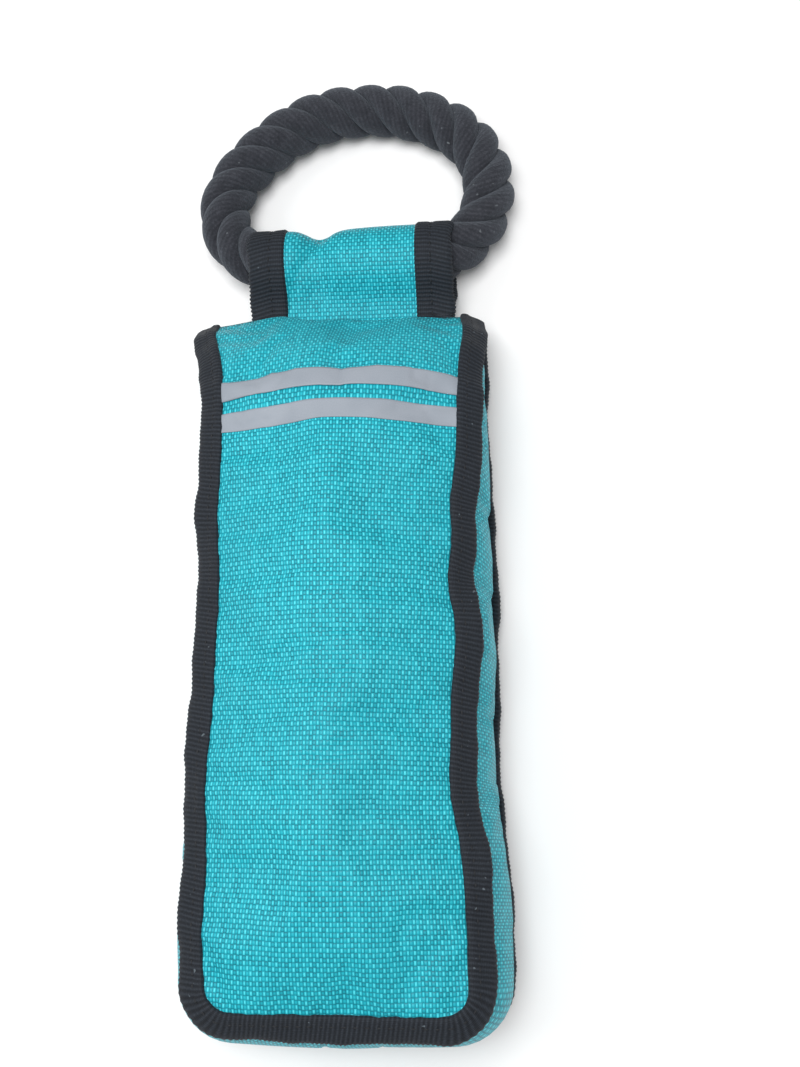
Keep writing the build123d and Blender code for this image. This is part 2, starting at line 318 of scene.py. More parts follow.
def reflective_material():
    """Heat-bonded retroreflective film: flat grey with a fine bead grain."""
    m = Shader("reflective_film", Roughness=0.62, Specular_IOR_Level=0.25)
    u, v = m.uv("cloth")
    bead = m.noise(m.combine(u, v), 3200.0, 2.0)
    broad = m.noise(m.combine(u, v), 60.0, 2.0)
    tone = m.plus(m.maths("MULTIPLY", bead, 0.5), broad, 0.5)
    colour = m.ramp(
        tone,
        (0.3, linear(138, 146, 156)),
        (0.7, linear(158, 164, 173)),
    )
    m.put(m.surface.inputs["Base Color"], colour)
    m.bump(bead, 0.04 * mm, 0.5)
    return m.material


def rope_material():
    """Dyed cotton rope: matte twisted yarns with fuzz and pale lint, and a little painted shade in
    the grooves between the yarns.
    """
    m = Shader("cotton_rope", Roughness=0.93, Specular_IOR_Level=0.12)
    m.surface.inputs["Sheen Weight"].default_value = 0.45
    m.surface.inputs["Sheen Roughness"].default_value = 0.6
    m.surface.inputs["Sheen Tint"].default_value = linear(150, 160, 170)
    u, v = m.uv("cloth")
    slant = m.maths("SUBTRACT", u, m.maths("MULTIPLY", v, 0.55))
    ply = m.cycle("SINE", slant, rope_yarn_pitch)
    fuzz = m.noise(m.place(), 1300.0, 4.0, 0.65)
    tuft = m.noise(m.place(), 260.0, 3.0)
    # The ply wave paints a little shade into the grooves between the twisted yarns, in step with the
    # bump.
    tone = m.plus(m.maths("MULTIPLY", ply, 0.1), fuzz, 0.6)
    tone = m.plus(tone, tuft, 0.3)
    colour = m.ramp(
        tone,
        (0.25, linear(28, 29, 33)),
        (0.52, linear(50, 51, 57)),
        (0.8, linear(78, 79, 86)),
    )
    lint = m.noise(m.place(), 420.0, 1.5)
    speck = m.spread(lint, 0.73, 0.78, 0.0, 0.55)
    m.put(m.surface.inputs["Base Color"], m.mix(speck, colour, linear(140, 146, 150)))
    m.bump(m.maths("ADD", m.maths("MULTIPLY", ply, 0.16), fuzz), 0.5 * mm, 0.9)
    return m.material


def plain_fibre_material(name, dark, pale, scale, roughness):
    """Thread, wrap tape or filling: mottled fibre between two colours."""
    m = Shader(name, Roughness=roughness, Specular_IOR_Level=0.3)
    grain = m.noise(m.place(), scale, 3.0)
    m.put(m.surface.inputs["Base Color"], m.ramp(grain, (0.3, dark), (0.7, pale)))
    m.bump(grain, 0.15 * mm, 0.7)
    return m.material


def floor_material():
    """Matte white surface that the bumper lies on."""
    m = Shader("white_floor", Roughness=0.9, Specular_IOR_Level=0.1)
    m.surface.inputs["Base Color"].default_value = linear(252, 252, 252)
    return m.material


cloth_look = cloth_material()
tape_look = tape_material()
film_look = reflective_material()
rope_look = rope_material()
thread_look = plain_fibre_material(
    "black_thread", linear(14, 16, 19), linear(40, 43, 48), 2600.0, 0.55
)
wrap_look = plain_fibre_material(
    "joint_wrap", linear(24, 25, 27), linear(48, 49, 52), 1200.0, 0.7
)
fibre_look = plain_fibre_material(
    "filling_fibre", linear(205, 205, 200), linear(244, 244, 240), 500.0, 0.95
)

# ---- mesh helpers


def grid_faces(rows, columns, closed_columns=False):
    """Quads of a grid whose vertices run along each row in turn."""
    faces = []
    for row in range(rows - 1):
        for column in range(columns if closed_columns else columns - 1):
            here = row * columns
            above = here + columns
            beside = (column + 1) % columns
            faces.append((here + column, here + beside, above + beside, above + column))
    return faces


def make_mesh(name, points, faces, uv=None, material=None):
    """Smooth mesh object; uv holds one pair for each corner of each face."""
    mesh = bpy.data.meshes.new(name)
    mesh.from_pydata(np.asarray(points).tolist(), [], faces)
    mesh.update()
    mesh.shade_smooth()
    if uv is not None:
        layer = mesh.uv_layers.new(name="cloth")
        layer.data.foreach_set("uv", np.asarray(uv, np.float32).ravel())
    if material is not None:
        mesh.materials.append(material)
    piece = bpy.data.objects.new(name, mesh)
    bpy.context.scene.collection.objects.link(piece)
    return piece


def tube_faces(rings, sides, first=0):
    """Faces of a capped tube whose points run round each ring in turn, from index first."""
    faces = grid_faces(rings, sides, closed_columns=True)
    faces.append(tuple(reversed(range(sides))))
    faces.append(tuple((rings - 1) * sides + side for side in range(sides)))
    return [tuple(first + vertex for vertex in face) for face in faces]


def turned_over(faces):
    """The same faces, seen from their other side."""
    return [tuple(reversed(face)) for face in faces]


def corners_of(faces, uv, columns=0, girth=0.0):
    """UVs at the face corners; the column where a girth closes runs on by its length."""
    corners = []
    for face in faces:
        places = [vertex % columns for vertex in face] if columns else face
        closes = columns and len(face) == 4 and max(places) == columns - 1 and min(places) == 0
        for vertex, place in zip(face, places):
            u, v = uv[vertex]
            corners.append((u + girth if closes and place == 0 else u, v))
    return corners


def normals_of(points, faces):
    """Unit normal at each point, from the faces round it."""
    points = np.asarray(points)
    quads = np.asarray(faces)
    crossed = np.cross(
        points[quads[:, 2]] - points[quads[:, 0]], points[quads[:, 3]] - points[quads[:, 1]]
    )
    total = np.zeros_like(points)
    for corner in range(4):
        np.add.at(total, quads[:, corner], crossed)
    return total / np.maximum(np.linalg.norm(total, axis=1, keepdims=True), 1e-12)


def thicken(piece, thickness, offset):
    """Gives a sheet its thickness and applies it."""
    modifier = piece.modifiers.new("thickness", "SOLIDIFY")
    modifier.thickness = thickness
    modifier.offset = offset
    modifier.use_even_offset = False
    apply_modifiers(piece)


def apply_modifiers(piece):
    """Swaps the piece's mesh for the result of its modifiers."""
    graph = bpy.context.evaluated_depsgraph_get()
    final = bpy.data.meshes.new_from_object(piece.evaluated_get(graph))
    piece.modifiers.clear()
    piece.data = final


def unit(vectors):
    """Vectors scaled to length 1."""
    return vectors / np.maximum(np.linalg.norm(vectors, axis=-1, keepdims=True), 1e-12)


# ---- the two perimeter seams

cloth = 1.2 * mm
flange_width = 8.5 * mm
flange_tilt = radians(30)
body_top = 72.5 * mm


class Seam:
    """A seam seen from the side: a straight run up from the bottom, then one tangent arc."""

    def __init__(self, bottom, bend, radius, end_angle):
        self.start_angle = atan2(bend[1] - bottom[1], bend[0] - bottom[0])
        self.bend = bend
        self.radius = radius
        self.turn = 1 if end_angle > self.start_angle else -1
        self.straight = hypot(bend[0] - bottom[0], bend[1] - bottom[1])
        self.length = self.straight + radius * abs(end_angle - self.start_angle)

    def angle(self, s):
        """Slope of the seam at distances s."""
        return self.start_angle + self.turn * np.maximum(0, s - self.straight) / self.radius

    def frame(self, s):
        """(point, unit tangent, unit normal) in Y and Z, as arrays, at distances s."""
        here = self.angle(s)
        run = np.minimum(0, s - self.straight)
        side = self.turn * self.radius
        y = self.bend[0] + run * cos(self.start_angle) + side * (np.sin(here) - sin(self.start_angle))
        z = self.bend[1] + run * sin(self.start_angle) + side * (cos(self.start_angle) - np.cos(here))
        zero = np.zeros_like(here)
        point = np.stack([zero, y, z], axis=-1)
        tangent = np.stack([zero, np.cos(here), np.sin(here)], axis=-1)
        normal = np.stack([zero, -np.sin(here), np.cos(here)], axis=-1)
        return point, tangent, normal


front_seam = Seam(
    bottom=(-170.5 * mm, 55.7 * mm), bend=(30.46 * mm, 44.14 * mm),
    radius=52 * mm, end_angle=radians(-60),
)
back_seam = Seam(
    bottom=(-176 * mm, 7 * mm), bend=(45 * mm, 7 * mm), radius=68 * mm, end_angle=radians(23)
)


def swell(s, bumps):
    """Sum of smooth bumps, each a (place, reach, size) in millimetres."""
    total = 0
    for place, reach, size in bumps:
        total = total + size * mm * np.exp(-(((s - place * mm) / (reach * mm)) ** 2))
    return total


class Panel:
    """A face of the body inside its stitched line, on a grid of columns and rows."""

    columns = 49
    rows = 133
    round_rows = 9
    corner = 9.0 * mm
    gathers = ((61, 0.4), (37, 0.3), (23, 0.25), (14, 0.25), (9, 0.12))

    def __init__(self, seam, half_top, half_bottom, waist, lift, seed, left_sway, right_sway):
        self.seam = seam
        self.half_top = half_top
        self.half_bottom = half_bottom
        self.waist = waist
        self.lift = lift
        self.left_sway = left_sway
        self.right_sway = right_sway
        self.inset = flange_width * cos(flange_tilt)
        self.phases = np.random.default_rng(seed).uniform(0, 2 * pi, len(self.gathers))

    def half(self, s):
        """Half width at s, drawn in round the two bottom corners."""
        share = (s - self.inset) / (self.seam.length - self.inset)
        half = self.half_bottom + (self.half_top - self.half_bottom) * share
        half = half - self.waist * np.sin(pi * share**0.8) ** 2
        short = np.maximum(0, self.corner - (s - self.inset))
        return half - self.corner + np.sqrt(np.maximum(0, self.corner**2 - short**2))

    def across_at(self, across, s):
        """X at a share across; each side seam sways a little on its own."""
        sway = np.where(across < 0, swell(s, self.left_sway), swell(s, self.right_sway))
        return across * self.half(s) + sway * across**3

    def stations(self):
        """Distances of the rows, closer together round the bottom corners."""
        turn = np.linspace(0, pi / 2, self.round_rows)
        low = self.inset + self.corner * (1 - np.cos(turn))
        high = np.linspace(
            self.inset + self.corner, self.seam.length, self.rows - self.round_rows + 1
        )
        return np.concatenate([low, high[1:]])

    def ripple(self, x, s):
        """Small rise and fall of the stitched line where the tape gathers the cloth."""
        way = s + 0.35 * x
        total = 0
        for phase, (length, size) in zip(self.phases, self.gathers):
            total = total + size * mm * np.sin(2 * pi * way / (length * mm) + phase)
        near_side = np.abs(x / self.half(s)) ** 4
        near_bottom = np.exp(-(s - self.inset) / (8 * mm))
        return total * np.clip(near_side + near_bottom, 0, 1)

    def points(self, crown):
        """Grid of points, raised from the stitched line by crown(share across, s)."""
        s = np.repeat(self.stations()[:, None], self.columns, axis=1)
        across = np.repeat(np.linspace(-1, 1, self.columns)[None], self.rows, axis=0)
        x = self.across_at(across, s)
        point, _, normal = self.seam.frame(s)
        rise = self.lift + crown(across, s)
        edge = self.ripple(x, s)
        grid = point + normal * (rise + edge)[..., None]
        grid[..., 0] = x
        return grid


front = Panel(
    front_seam, half_top=41.4 * mm, half_bottom=44.2 * mm, waist=1.9 * mm, lift=3.6 * mm, seed=11,
    left_sway=(
        (257, 27, 6.2), (244, 20, 3.6), (170, 14, 0.9), (143, 12, -0.6),
        (80, 18, 0.8), (50, 16, -1.2), (8, 22, -3.5),
    ),
    right_sway=((236, 14, 1.8), (170, 12, -2.0), (145, 12, -2.8), (104, 14, -2.0), (78, 16, -3.4)),
)
back = Panel(
    back_seam, half_top=42.6 * mm, half_bottom=49.0 * mm, waist=1.0 * mm, lift=0.4 * mm, seed=23,
    left_sway=((200, 20, 0.8), (120, 24, -1.0), (60, 18, 0.8)),
    right_sway=((210, 16, -0.9), (150, 18, 1.1), (95, 15, -1.2), (40, 14, 0.8)),
)

front_swell = 11.0 * mm
hump_swell = 2.0 * mm
back_swell = 7.2 * mm


def front_crown(across, s):
    """Swell of the front above its stitched line: long and full, easing out at both ends."""
    low = np.clip((s - front.inset) / (62 * mm), 0, 1)
    high = np.clip((front_seam.length - s) / (88 * mm), 0, 1)
    along = np.sin(low * pi / 2) ** 0.75 * np.sin(high * pi / 2) ** 0.85
    hump = np.exp(-(((across + 0.6) / 0.28) ** 2) - ((front_seam.length - s) / (15 * mm)) ** 2)
    return front_swell * along * (1 - np.abs(across) ** 2.4) + hump_swell * hump


def back_crown(across, s):
    """Swell of the back, down to the surface that it rests on."""
    low = np.clip((s - back.inset) / (26 * mm), 0, 1)
    high = np.clip((back_seam.length - s) / (40 * mm), 0, 1)
    along = np.sin(low * pi / 2) * np.sin(high * pi / 2)
    return -back_swell * along * (1 - np.abs(across) ** 3.2)


def loop_of(rows, columns):
    """Grid places of the edge: down the left side, across, up the right side and back."""
    left = [(row, 0) for row in range(rows - 1, 0, -1)]
    bottom = [(0, column) for column in range(columns - 1)]
    right = [(row, columns - 1) for row in range(rows - 1)]
    top = [(rows - 1, column) for column in range(columns - 1, 0, -1)]
    return np.array(left + bottom + right + top)


wall_rows = 15
wall_bulge = 0.17
last_frame = 20
most_move = 6.0 * mm
floor_gap = 0.3 * mm
filling_depth = cloth + 1.4 * mm


def wall_points(front_edge, back_edge):
    """Rings of points from the front edge to the back edge, bulging outward between them."""
    around = unit(np.roll(front_edge, -1, axis=0) - np.roll(front_edge, 1, axis=0))
    drop = unit(back_edge - front_edge)
    outward = unit(np.cross(drop, around))
    depth = np.linalg.norm(back_edge - front_edge, axis=1)
    rings = []
    for share in np.linspace(0, 1, wall_rows)[1:-1]:
        bulge = wall_bulge * depth * sin(pi * share) ** 0.8
        rings.append(front_edge + (back_edge - front_edge) * share + outward * bulge[:, None])
    return np.array(rings)


def inflate(points, faces, pinned):
    """Cloth simulation of the closed shell: pressure fills it and eases wrinkles into it."""
    shell = make_mesh("shell", points, faces)
    group = shell.vertex_groups.new(name="seams")
    group.add([int(index) for index in pinned], 1.0, "REPLACE")
    cloth_modifier = shell.modifiers.new("cloth", "CLOTH")
    settings = cloth_modifier.settings
    settings.quality = 5
    settings.mass = 0.15
    settings.tension_stiffness = 30
    settings.compression_stiffness = 18
    settings.shear_stiffness = 8
    settings.bending_stiffness = 1.5
    settings.air_damping = 3
    settings.vertex_group_mass = group.name
    settings.use_pressure = True
    settings.uniform_pressure_force = 5
    settings.shrink_min = -0.018
    settings.effector_weights.gravity = 0
    cloth_modifier.collision_settings.use_collision = False
    cloth_modifier.point_cache.frame_start = 1
    cloth_modifier.point_cache.frame_end = last_frame
    for number in range(1, last_frame + 1):
        bpy.context.scene.frame_set(number)
    graph = bpy.context.evaluated_depsgraph_get()
    settled = shell.evaluated_get(graph).data
    result = np.zeros(len(points) * 3)
    settled.vertices.foreach_get("co", result)
    bpy.data.objects.remove(shell)
    bpy.context.scene.frame_set(1)
    return result.reshape(-1, 3)


def build_shell():
    """Front grid, back grid and wall rings of the filled body, simulated together."""
    front_grid = front.points(front_crown)
    back_grid = back.points(back_crown)
    edge = loop_of(Panel.rows, Panel.columns)
    size = Panel.rows * Panel.columns
    rings = wall_points(front_grid[edge[:, 0], edge[:, 1]], back_grid[edge[:, 0], edge[:, 1]])
    points = np.concatenate([part.reshape(-1, 3) for part in (front_grid, back_grid, rings)])
    around = len(edge)
    edge_index = edge[:, 0] * Panel.columns + edge[:, 1]
    ring_index = np.concatenate([
        edge_index[None],
        2 * size + np.arange(rings.shape[0] * around).reshape(rings.shape[0], around),
        size + edge_index[None],
    ])
    flat = grid_faces(Panel.rows, Panel.columns)
    back_faces = [tuple(size + vertex for vertex in reversed(face)) for face in flat]
    wall = grid_faces(wall_rows, around, closed_columns=True)
    lookup = ring_index.ravel()
    wall_faces = [tuple(int(lookup[vertex]) for vertex in reversed(face)) for face in wall]
    faces = flat + back_faces + wall_faces
    settled = inflate(points, faces, np.concatenate([edge_index, size + edge_index]))
    move = settled - points
    reach = np.linalg.norm(move, axis=1, keepdims=True)
    points = points + move * np.minimum(1, most_move / np.maximum(reach, 1e-9))
    points[:, 2] = np.maximum(points[:, 2], floor_gap)
    return points, faces, ring_index


shell_points, shell_faces, ring_index = build_shell()
shell_normals = normals_of(shell_points, shell_faces)
panel_size = Panel.rows * Panel.columns


def panel_piece(name, first, panel, flipped):
    """The front or back panel, cut from the settled shell, with its flat cloth's UVs."""
    points = shell_points[first:first + panel_size]
    faces = grid_faces(Panel.rows, Panel.columns)
    s = np.repeat(panel.stations()[:, None], Panel.columns, axis=1)
    grid = points.reshape(Panel.rows, Panel.columns, 3)
    step = np.linalg.norm(np.diff(grid, axis=1), axis=2)
    middle = Panel.columns // 2
    u = np.concatenate([np.zeros((Panel.rows, 1)), np.cumsum(step, axis=1)], axis=1)
    u = u - u[:, middle:middle + 1]
    uv = np.stack([u, s], axis=-1).reshape(-1, 2)
    if flipped:
        faces = turned_over(faces)
    piece = make_mesh(name, points, faces, corners_of(faces, uv), cloth_look)
    thicken(piece, cloth, -1)
    return piece


def gusset_piece():
    """The wall between the two panels, cut from the settled shell."""
    rings = shell_points[ring_index]
    around = rings.shape[1]
    step = np.linalg.norm(np.roll(rings[0], -1, axis=0) - rings[0], axis=1)
    u = np.concatenate([[0], np.cumsum(step)[:-1]])
    depth = np.linalg.norm(np.diff(rings, axis=0), axis=2)
    v = np.concatenate([np.zeros((1, around)), np.cumsum(depth, axis=0)])
    uv = np.stack([np.repeat(u[None], wall_rows, axis=0), v], axis=-1).reshape(-1, 2)
    faces = turned_over(grid_faces(wall_rows, around, closed_columns=True))
    corners = corners_of(faces, uv, around, step.sum())
    piece = make_mesh("gusset_skin", rings.reshape(-1, 3), faces, corners, cloth_look)
    thicken(piece, cloth, -1)
    return piece


def filling_piece():
    """The fibre filling, a closed form just inside the cloth."""
    points = shell_points - shell_normals * filling_depth
    return make_mesh("fibre_filling", points, shell_faces, material=fibre_look)


def on_front(across, s, lift):
    """Points on the settled front at shares across and distances s, raised by lift."""
    grid = shell_points[:panel_size].reshape(Panel.rows, Panel.columns, 3)
    normal = shell_normals[:panel_size].reshape(Panel.rows, Panel.columns, 3)
    row = np.interp(s, front.stations(), np.arange(Panel.rows))
    column = (across + 1) / 2 * (Panel.columns - 1)
    r = np.minimum(row.astype(int), Panel.rows - 2)
    c = np.minimum(column.astype(int), Panel.columns - 2)
    a = (row - r)[..., None]
    b = (column - c)[..., None]

    def blend(field):
        low = field[r, c] * (1 - b) + field[r, c + 1] * b
        high = field[r + 1, c] * (1 - b) + field[r + 1, c + 1] * b
        return low * (1 - a) + high * a

    return blend(grid) + unit(blend(normal)) * lift


strip_width = 6.5 * mm
strip_gap = 4.5 * mm
strips_from_top = 47.0 * mm
film = 0.3 * mm
film_lift = 0.45 * mm


def strip_piece(name, s_middle):
    """One reflective strip bonded over the front from seam to seam."""
    columns = 97
    rows = 11
    s = np.linspace(s_middle - strip_width / 2, s_middle + strip_width / 2, rows)
    across = np.linspace(-1, 1, columns)
    s = np.repeat(s[:, None], columns, axis=1)
    across = np.repeat(across[None], rows, axis=0)
    points = on_front(across, s, film_lift)
    faces = grid_faces(rows, columns)
    uv = np.stack([across * 41 * mm, s], axis=-1).reshape(-1, 2)
    piece = make_mesh(name, points.reshape(-1, 3), faces, corners_of(faces, uv), film_look)
    thicken(piece, film, -1)
    return piece


# ---- bindings and stitches


def stitched_line(panel, spacing):
    """Points, outward and upward directions and distances along the stitched line."""
    grid_edge = loop_of(Panel.rows, Panel.columns)
    keep = grid_edge[:2 * Panel.rows + Panel.columns - 3]
    order = np.concatenate([keep, [[Panel.rows - 1, Panel.columns - 1]]])
    s = panel.stations()[order[:, 0]]
    across = -1 + 2 * order[:, 1] / (Panel.columns - 1)
    x = panel.across_at(across, s)
    step = np.hypot(np.diff(x), np.diff(s))
    way = np.concatenate([[0], np.cumsum(step)])
    distance = np.arange(0, way[-1], spacing)
    x = np.interp(distance, way, x)
    s = np.interp(distance, way, s)
    point, tangent, normal = panel.seam.frame(s)
    point = point + normal * (panel.lift + panel.ripple(x, s))[:, None]
    point[:, 0] = x
    run_x = np.gradient(x, distance)
    run_s = np.gradient(s, distance)
    smooth = max(1, int(smoothing / spacing))
    kernel = np.ones(2 * smooth + 1) / (2 * smooth + 1)
    run_x = np.convolve(np.pad(run_x, smooth, mode="edge"), kernel, "valid")
    run_s = np.convolve(np.pad(run_s, smooth, mode="edge"), kernel, "valid")
    outward = tangent * -run_x[:, None]
    outward[:, 0] = run_s
    along = tangent * run_s[:, None]
    along[:, 0] = run_x
    return point, unit(outward), normal, distance, unit(along)


binding_thickness = 3.4 * mm
inner_reach = 1.2 * mm
rib_height = 0.15 * mm
rib_slant = 0.16
stitch_place = 2.2 * mm
stitch_valley = 0.4 * mm
stitch_pitch = 3.6 * mm
stitch_length = 2.7 * mm
stitch_bend = 0.5 * mm
stitch_step = 0.3 * mm
thread_radius = 0.32 * mm
profile_points = 30
smoothing = 2 * mm


def binding_profile(count):
    """Section of the folded tape: (outward, upward) places and their distance round it."""
    turn = np.linspace(0, 2 * pi, count, endpoint=False)
    power = 0.55
    a = np.sign(np.cos(turn)) * np.abs(np.cos(turn)) ** power
    b = np.sign(np.sin(turn)) * np.abs(np.sin(turn)) ** power
    half = (flange_width + inner_reach) / 2
    outward = flange_width - half + a * half
    upward = b * binding_thickness / 2
    inner = np.clip(1 - (outward + inner_reach) / (3.4 * mm), 0, 1)
    upward = upward * (1 - 0.28 * inner)
    step = np.hypot(np.diff(outward, append=outward[:1]), np.diff(upward, append=upward[:1]))
    return outward, upward, np.concatenate([[0], np.cumsum(step)])


def flange_axes(outward, normal, side, wobble):
    """Directions across and through the flange, which hangs down from the stitched line."""
    tilt = (flange_tilt + wobble)[:, None]
    across = outward * np.cos(tilt) - side * normal * np.sin(tilt)
    through = normal * np.cos(tilt) + side * outward * np.sin(tilt)
    return across, through


def flange_wobble(distance, seed):
    """Wandering of the flange's tilt, in radians."""
    return wander(distance, seed, (74, 41, 26), (0.06, 0.05, 0.04))


def wander(distance, seed, lengths, sizes):
    """Smooth wandering value along a distance, the same on every run."""
    phases = np.random.default_rng(seed).uniform(0, 2 * pi, len(lengths))
    total = np.zeros_like(distance)
    for phase, length, size in zip(phases, lengths, sizes):
        total = total + size * np.sin(2 * pi * distance / (length * mm) + phase)
    return total


def binding_piece(name, panel, side, seed):
    """Ribbed tape folded over the seam's edges, up both sides and across the bottom."""
    spacing = rib_pitch / 5
    point, outward, normal, distance, _ = stitched_line(panel, spacing)
    outward_at, upward_at, round_way = binding_profile(profile_points)
    across, through = flange_axes(outward, normal, side, flange_wobble(distance, seed))
    stretch = 1 + wander(distance, seed + 1, (58, 31, 17, 8), (0.02, 0.02, 0.02, 0.012))
    rows = len(distance)
    columns = len(outward_at)
    reach = outward_at[None] * stretch[:, None]
    slant = rib_slant * outward_at[None]
    wave = np.cos(2 * pi * (distance[:, None] + slant) / rib_pitch)
    edge = np.clip(outward_at / flange_width, 0, 1) ** 2
    lift = upward_at[None] * (1 + wave * rib_height / (binding_thickness / 2))
    reach = reach + wave * rib_height * 0.7 * edge[None]
    valley = stitch_valley * np.exp(-((outward_at - stitch_place) / (0.8 * mm)) ** 2)
    lift = lift - np.sign(upward_at)[None] * valley[None]
    points = point[:, None] + across[:, None] * reach[..., None] + through[:, None] * lift[..., None]
    faces = turned_over(tube_faces(rows, columns))
    u = np.repeat(round_way[None, :-1], rows, axis=0)
    v = distance[:, None] + slant
    uv = np.stack([u, v], axis=-1).reshape(-1, 2)
    corners = corners_of(faces, uv, columns, round_way[-1])
    return make_mesh(name, points.reshape(-1, 3), faces, corners, tape_look)


def stitches_piece(name, centres, directions, ups):
    """Row of thread stitches, each a short bent bead that dips into the tape at its ends."""
    sides = 6
    rings = 7
    turn = np.linspace(0, 2 * pi, sides, endpoint=False)
    points = []
    faces = []
    for centre, direction, up in zip(centres, directions, ups):
        beside = np.cross(direction, up)
        first = len(points)
        for share in np.linspace(-1, 1, rings):
            middle = centre + direction * share * stitch_length / 2 - up * stitch_bend * share**2
            radius = thread_radius * (1 - 0.75 * abs(share) ** 4)
            for angle in turn:
                points.append(middle + (beside * cos(angle) + up * sin(angle)) * radius)
        faces.extend(tube_faces(rings, sides, first))
    return make_mesh(name, points, faces, material=thread_look)


def binding_stitches(name, panel, side, seed):
    """Stitches along the inner edge of one binding."""
    point, outward, normal, distance, along = stitched_line(panel, stitch_step)
    across, through = flange_axes(outward, normal, side, flange_wobble(distance, seed))
    every = int(stitch_pitch / stitch_step)
    pick = np.arange(every, len(distance), every)
    height = binding_thickness / 2 * 0.93 - stitch_valley + 0.1 * mm
    centres = point + across * stitch_place + side * through * height
    return stitches_piece(name, centres[pick], along[pick], side * through[pick])


# ---- strap tab

rope_axis = np.array([101.0, 13.4]) * mm
tab_root = np.array([78.2, 15.0]) * mm
tab_start_y = 68 * mm
tab_half = 37.5 * mm
web_half = tab_half - 1.2 * mm
strap_gap = 0.75 * mm
web_radius = 11.8 * mm
web_pull = 1.5 * mm
crease_depth = 1.1 * mm
dip_depth = 3.2 * mm
bump_height = 0.5 * mm
right_rise = 0.9 * mm


def fold_radius(x):
    """Radius of the strap's fold over the rope: it dips over the rope's joint."""
    dip = np.exp(-(((x + 12.5 * mm) / (6 * mm)) ** 2))
    bump = np.exp(-(((x + 22 * mm) / (5 * mm)) ** 2))
    full_at = 25 * mm
    right = np.where(x < full_at, 1 / (1 + np.exp(-(x - 2 * mm) / (5 * mm))), 1)
    return web_radius - dip_depth * dip + bump_height * bump + right_rise * right


def tab_path(x, count, lift):
    """Points of the strap's loop in Y and Z at each x, raised outward by lift, and normals."""
    way = np.linspace(0, 1, count)
    radius = np.asarray(fold_radius(x))[:, None]
    span = rope_axis - tab_root
    run = np.hypot(*span)
    lean = np.arctan2(span[1], span[0])
    slope = np.arcsin((radius - strap_gap) / run)
    top = lean + pi / 2 + slope
    bottom = lean - pi / 2 - slope
    flat = run * np.cos(slope)
    arc = radius * (top - bottom)
    inside = tab_root[0] - tab_start_y
    total = 2 * inside + 2 * flat + arc
    d = way[None] * total
    parts = [
        d < inside,
        d < inside + flat,
        d < inside + flat + arc,
        d < inside + 2 * flat + arc,
    ]

    def straight(angle, share):
        """(y, z) on the run that leaves the root at share 0 and meets the rope at share 1."""
        towards = (np.cos(angle), np.sin(angle))
        return [
            tab_root[k] + strap_gap * towards[k] * (1 - share)
            + (span[k] + radius * towards[k]) * share
            for k in range(2)
        ]

    going = straight(top, (d - inside) / flat)
    coming = straight(bottom, 1 - (d - inside - flat - arc) / flat)
    turn = top - (d - inside - flat) / radius
    after = d - inside - 2 * flat - arc
    y = np.select(
        parts,
        [tab_start_y + d, going[0], rope_axis[0] + radius * np.cos(turn), coming[0]],
        tab_root[0] - after,
    )
    level = np.zeros_like(d)
    z = np.select(
        parts,
        [level + tab_root[1] + strap_gap, going[1], rope_axis[1] + radius * np.sin(turn), coming[1]],
        level + tab_root[1] - strap_gap,
    )
    angle = np.select(parts, [level + pi / 2, level + top, turn, level + bottom], level - pi / 2)
    pull = np.sin(pi * np.clip((d - inside * 0.6) / (inside * 0.4 + flat * 0.9), 0, 1)) ** 2
    out = lift - web_pull * pull
    return y + np.cos(angle) * out, z + np.sin(angle) * out, d, angle


def web_piece():
    """The strap's cloth: one sheet from the top seam, over the rope and back."""
    columns = 76
    count = 120
    x = np.linspace(-web_half, web_half, columns)
    y, z, d, angle = tab_path(x, count, 0.0)
    crease = np.exp(-(((x[:, None] + 16 * mm) - 0.55 * (y - rope_axis[0])) / (2.6 * mm)) ** 2)
    front_side = (angle > 0.3) & (y > tab_root[0])
    sink = crease_depth * crease * front_side
    y = y - np.cos(angle) * sink
    z = z - np.sin(angle) * sink
    points = np.stack([np.repeat(x[:, None], count, axis=1), y, z], axis=-1).transpose(1, 0, 2)
    faces = turned_over(grid_faces(count, columns))
    uv = np.stack([np.repeat(x[None], count, axis=0), d.T], axis=-1).reshape(-1, 2)
    piece = make_mesh("strap_web", points.reshape(-1, 3), faces, corners_of(faces, uv), cloth_look)
    thicken(piece, cloth, 0)
    return piece


tab_tape_width = 14 * mm
tab_tape = 0.8 * mm
tab_inner = tab_half + tab_tape - tab_tape_width
tab_valley_at = tab_inner + 0.42 * tab_tape_width
tab_rib = 0.11 * mm
tab_scallop = 0.22 * mm


